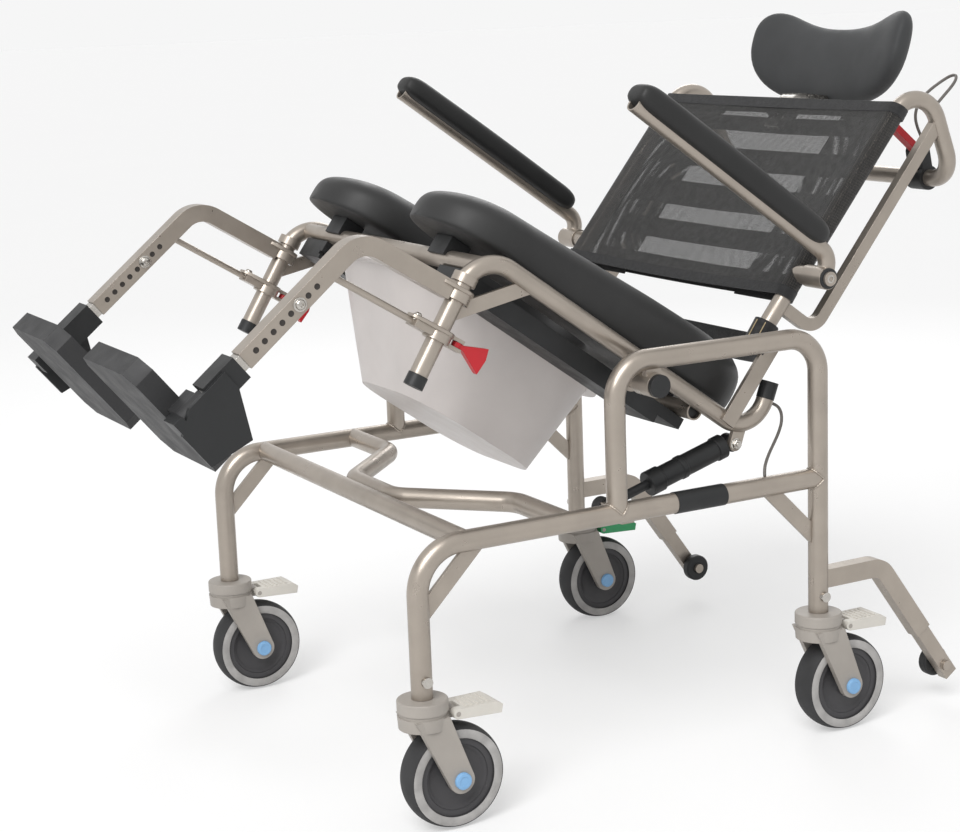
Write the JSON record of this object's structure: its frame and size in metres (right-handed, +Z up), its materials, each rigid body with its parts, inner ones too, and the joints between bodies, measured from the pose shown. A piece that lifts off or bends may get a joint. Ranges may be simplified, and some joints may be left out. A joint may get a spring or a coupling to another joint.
{
  "type": "tilting commode chair",
  "caption": "Tilt-in-space commode chair: castor base, tilting seat frame, horseshoe cushion over a slide-out pan, flip-up armrests, swing-away legrests and headrest.",
  "frame": {"origin": "on the floor under the middle of the chair's box", "axes": "+Z up, the sitter faces -Y, +X is the sitter's left"},
  "size_m": [0.652, 1.1684, 0.9095],
  "materials": {
    "frame_metal": "satin",
    "bright_steel": "bright",
    "black_plastic": "satin",
    "foot_plastic": "matt",
    "castor_grey": "satin",
    "tyre_rubber": "matt",
    "hub_plastic": "satin",
    "pedal_grey": "satin",
    "pedal_green": "satin",
    "lever_red": "satin",
    "seat_skin": "soft skinned foam",
    "arm_skin": "soft skinned foam",
    "head_skin": "soft skinned foam",
    "sling_mesh": "woven mesh",
    "pan_plastic": "satin",
    "cable_jacket": "satin"
  },
  "bodies": {
    "base": {"side_rail_left": "frame_metal", "side_rail_right": "frame_metal", "arch_left": "frame_metal", "arch_right": "frame_metal", "base_cross_tubes": "frame_metal", "base_gussets": "frame_metal", "rail_band": "black_plastic", "leg_bolts": "bright_steel", "antitip_bars": "frame_metal", "tilt_cable": "cable_jacket"},
    "tilt_frame": {"seat_rail_left": "frame_metal", "seat_rail_right": "frame_metal", "seat_cross_tubes": "frame_metal", "back_frame": "frame_metal", "frame_braces": "frame_metal", "rear_stays": "frame_metal", "tube_caps": "black_plastic", "back_sling": "sling_mesh", "handle_brackets": "black_plastic", "handle_cable": "cable_jacket", "pan_rails": "black_plastic"},
    "seat": {"seat_cushion": "seat_skin"},
    "pan": {"commode_pan": "pan_plastic"},
    "strut_barrel": {"strut_barrel": "black_plastic"},
    "strut_rod": {"strut_rod": "black_plastic"},
    "headrest": {"headrest_stem": "bright_steel", "headrest_pad": "head_skin"},
    "tilt_lever": {"tilt_lever": "lever_red"},
    "castor_front_left": {"castor_fork_front_left": "castor_grey"},
    "wheel_front_left": {"castor_tyre_front_left": "tyre_rubber", "castor_hub_front_left": "hub_plastic"},
    "pedal_front_left": {"brake_pedal_front_left": "pedal_grey"},
    "castor_front_right": {"castor_fork_front_right": "castor_grey"},
    "wheel_front_right": {"castor_tyre_front_right": "tyre_rubber", "castor_hub_front_right": "hub_plastic"},
    "pedal_front_right": {"brake_pedal_front_right": "pedal_grey"},
    "castor_rear_left": {"castor_fork_rear_left": "castor_grey"},
    "wheel_rear_left": {"castor_tyre_rear_left": "tyre_rubber", "castor_hub_rear_left": "hub_plastic"},
    "pedal_rear_left": {"brake_pedal_rear_left": "pedal_grey"},
    "castor_rear_right": {"castor_fork_rear_right": "castor_grey"},
    "wheel_rear_right": {"castor_tyre_rear_right": "tyre_rubber", "castor_hub_rear_right": "hub_plastic"},
    "pedal_rear_right": {"brake_pedal_rear_right": "pedal_green"},
    "antitip_wheel_left": {"antitip_wheel_left": "black_plastic"},
    "legrest_left": {"legrest_tube_left": "frame_metal"},
    "legrest_lever_left": {"release_lever_left": "lever_red"},
    "foot_slide_left": {"legrest_extension_left": "bright_steel", "footplate_hanger_left": "black_plastic"},
    "footplate_left": {"footplate_left": "foot_plastic"},
    "armrest_left": {"armrest_bar_left": "frame_metal", "armrest_pad_left": "arm_skin"},
    "antitip_wheel_right": {"antitip_wheel_right": "black_plastic"},
    "legrest_right": {"legrest_tube_right": "frame_metal"},
    "legrest_lever_right": {"release_lever_right": "lever_red"},
    "foot_slide_right": {"legrest_extension_right": "bright_steel", "footplate_hanger_right": "black_plastic"},
    "footplate_right": {"footplate_right": "foot_plastic"},
    "armrest_right": {"armrest_bar_right": "frame_metal", "armrest_pad_right": "arm_skin"}
  },
  "joints": [
    {"name": "seat_tilt", "type": "hinge", "parent": "base", "child": "tilt_frame", "pos_m": [0, 0.03808, 0.488], "axis": [1, 0, 0], "range_deg": [0, 30], "deforming": ["tilt_cable"]},
    {"name": "strut_pivot", "type": "hinge", "parent": "tilt_frame", "child": "strut_barrel", "pos_m": [0.24, 0.1884, 0.38699], "axis": [1, 0, 0], "range_deg": [-13.39, 0.5]},
    {"name": "strut_slide", "type": "slide", "parent": "strut_barrel", "child": "strut_rod", "axis": [0, -0.9599, -0.2803], "range_m": [-0.001, 0.0678]},
    {"name": "castor_swivel_front_left", "type": "hinge", "parent": "base", "child": "castor_front_left", "pos_m": [0.295, -0.28492, 0.162], "axis": [0, 0, 1], "continuous": true},
    {"name": "wheel_spin_front_left", "type": "hinge", "parent": "castor_front_left", "child": "wheel_front_left", "pos_m": [0.295, -0.25092, 0.0625], "axis": [1, 0, 0], "continuous": true},
    {"name": "brake_front_left", "type": "hinge", "parent": "castor_front_left", "child": "pedal_front_left", "pos_m": [0.295, -0.24942, 0.1407], "axis": [-1, 0, 0], "range_deg": [0, 8]},
    {"name": "castor_swivel_front_right", "type": "hinge", "parent": "base", "child": "castor_front_right", "pos_m": [-0.295, -0.28492, 0.162], "axis": [0, 0, 1], "continuous": true},
    {"name": "wheel_spin_front_right", "type": "hinge", "parent": "castor_front_right", "child": "wheel_front_right", "pos_m": [-0.295, -0.25092, 0.0625], "axis": [1, 0, 0], "continuous": true},
    {"name": "brake_front_right", "type": "hinge", "parent": "castor_front_right", "child": "pedal_front_right", "pos_m": [-0.295, -0.24942, 0.1407], "axis": [-1, 0, 0], "range_deg": [0, 8]},
    {"name": "castor_swivel_rear_left", "type": "hinge", "parent": "base", "child": "castor_rear_left", "pos_m": [0.295, 0.28508, 0.162], "axis": [0, 0, 1], "continuous": true},
    {"name": "wheel_spin_rear_left", "type": "hinge", "parent": "castor_rear_left", "child": "wheel_rear_left", "pos_m": [0.295, 0.31908, 0.0625], "axis": [1, 0, 0], "continuous": true},
    {"name": "brake_rear_left", "type": "hinge", "parent": "castor_rear_left", "child": "pedal_rear_left", "pos_m": [0.295, 0.32058, 0.1407], "axis": [-1, 0, 0], "range_deg": [0, 8]},
    {"name": "castor_swivel_rear_right", "type": "hinge", "parent": "base", "child": "castor_rear_right", "pos_m": [-0.295, 0.28508, 0.162], "axis": [0, 0, 1], "continuous": true},
    {"name": "wheel_spin_rear_right", "type": "hinge", "parent": "castor_rear_right", "child": "wheel_rear_right", "pos_m": [-0.295, 0.31908, 0.0625], "axis": [1, 0, 0], "continuous": true},
    {"name": "brake_rear_right", "type": "hinge", "parent": "castor_rear_right", "child": "pedal_rear_right", "pos_m": [-0.295, 0.32058, 0.1407], "axis": [-1, 0, 0], "range_deg": [0, 8]},
    {"name": "antitip_spin_left", "type": "hinge", "parent": "base", "child": "antitip_wheel_left", "pos_m": [0.278, 0.49142, 0.05132], "axis": [1, 0, 0], "continuous": true},
    {"name": "legrest_swing_left", "type": "hinge", "parent": "tilt_frame", "child": "legrest_left", "pos_m": [0.25, -0.19502, 0.61437], "axis": [0, 0.5284, 0.849], "range_deg": [0, 90]},
    {"name": "legrest_release_left", "type": "hinge", "parent": "legrest_left", "child": "legrest_lever_left", "pos_m": [0.25, -0.19905, 0.55681], "axis": [0, -0.5284, -0.849], "range_deg": [0, 20]},
    {"name": "legrest_length_left", "type": "slide", "parent": "legrest_left", "child": "foot_slide_left", "axis": [0, -0.7749, -0.632], "range_m": [-0.003, 0.05]},
    {"name": "footplate_turn_left", "type": "hinge", "parent": "foot_slide_left", "child": "footplate_left", "pos_m": [0.25, -0.53368, 0.51202], "axis": [0, 0.7749, 0.632], "range_deg": [0, 75]},
    {"name": "armrest_flip_left", "type": "hinge", "parent": "tilt_frame", "child": "armrest_left", "pos_m": [0.298, 0.28945, 0.59152], "axis": [-1, 0, 0], "range_deg": [0, 100]},
    {"name": "antitip_spin_right", "type": "hinge", "parent": "base", "child": "antitip_wheel_right", "pos_m": [-0.278, 0.49142, 0.05132], "axis": [1, 0, 0], "continuous": true},
    {"name": "legrest_swing_right", "type": "hinge", "parent": "tilt_frame", "child": "legrest_right", "pos_m": [-0.25, -0.19502, 0.61437], "axis": [0, -0.5284, -0.849], "range_deg": [0, 90]},
    {"name": "legrest_release_right", "type": "hinge", "parent": "legrest_right", "child": "legrest_lever_right", "pos_m": [-0.25, -0.19905, 0.55681], "axis": [0, 0.5284, 0.849], "range_deg": [0, 20]},
    {"name": "legrest_length_right", "type": "slide", "parent": "legrest_right", "child": "foot_slide_right", "axis": [0, -0.7749, -0.632], "range_m": [-0.003, 0.05]},
    {"name": "footplate_turn_right", "type": "hinge", "parent": "foot_slide_right", "child": "footplate_right", "pos_m": [-0.25, -0.53368, 0.51202], "axis": [0, -0.7749, -0.632], "range_deg": [0, 75]},
    {"name": "armrest_flip_right", "type": "hinge", "parent": "tilt_frame", "child": "armrest_right", "pos_m": [-0.298, 0.28945, 0.59152], "axis": [-1, 0, 0], "range_deg": [0, 100]},
    {"name": "headrest_slide", "type": "slide", "parent": "tilt_frame", "child": "headrest", "axis": [0, 0.585, 0.8111], "range_m": [0, 0.05]},
    {"name": "tilt_release", "type": "hinge", "parent": "tilt_frame", "child": "tilt_lever", "pos_m": [0.188, 0.53695, 0.72496], "axis": [-1, 0, 0], "range_deg": [0, 12]},
    {"name": "pan_slide", "type": "slide", "parent": "tilt_frame", "child": "pan", "axis": [0, -0.8111, 0.585], "range_m": [0, 0.35]},
    {"name": "seat_lift", "type": "slide", "parent": "tilt_frame", "child": "seat", "axis": [0, 0.585, 0.8111], "range_m": [0, 0.06]}
  ],
  "couplings": [
    {"joint": "strut_pivot", "follows": "seat_tilt", "ratio": -0.42969},
    {"joint": "strut_slide", "follows": "seat_tilt", "m_per_rad": 0.1276}
  ]
}
